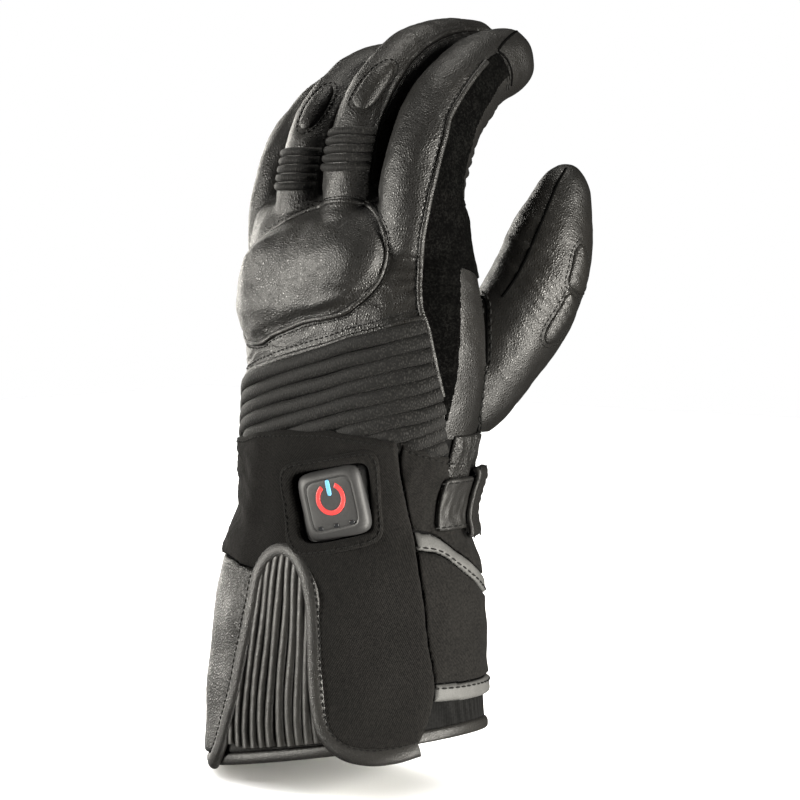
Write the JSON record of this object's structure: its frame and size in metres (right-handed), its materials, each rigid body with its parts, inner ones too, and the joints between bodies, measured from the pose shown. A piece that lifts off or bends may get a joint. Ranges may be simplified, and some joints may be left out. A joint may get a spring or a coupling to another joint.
{
  "type": "heated glove",
  "caption": "Left-hand heated gauntlet glove in leather and softshell with knuckle guard, ribbed wrist, pleated cuff gusset, closure tab and a heat control button.",
  "frame": {"origin": "centre of the cuff's open mouth, where the hand goes in", "axes": "+Z from the cuff's mouth to the fingers, -Y out of the back of the hand, +X to the thumb side"},
  "size_m": [0.1321, 0.1066, 0.2786],
  "materials": {
    "leather": "fine grain, satin",
    "suede": "napped, matt",
    "softshell": "fine twill, matt",
    "stretch": "ribbed, matt",
    "lining": "fleece, matt",
    "binding": "woven, soft sheen",
    "rubber": "moulded, satin",
    "symbol_red": "printed",
    "symbol_blue": "printed",
    "window": "gloss"
  },
  "bodies": {
    "root": {"hand_shell": "leather", "finger_index": "leather", "finger_middle": "leather", "finger_ring": "leather", "finger_little": "leather", "thumb": "leather", "suede_panel": "suede", "knuckle_guard": "leather", "finger_ribs_middle": "stretch", "finger_pad_middle": "leather", "finger_ribs_ring": "stretch", "finger_pad_ring": "leather", "thumb_pad_upper": "leather", "thumb_pad_lower": "leather", "thumb_folds": "leather", "wrist_ribs": "stretch", "cuff_lining": "lining", "hem_binding": "leather", "gusset_piping": "leather", "flap_hem_piping": "leather", "gusset": "stretch", "cuff_side": "leather", "controller_housing": "rubber", "cuff_flap": "softshell", "controller_welt": "softshell", "controller_symbol_ring": "symbol_red", "controller_symbol_bar": "symbol_blue", "controller_window_1": "window", "controller_window_2": "window", "controller_window_3": "window", "tab_binding_top": "binding", "closure_tab": "softshell", "tab_binding_bottom": "binding", "cuff_upper_side": "softshell", "cuff_palm": "softshell", "wrist_strap": "leather", "strap_keeper": "leather"}
  },
  "joints": []
}
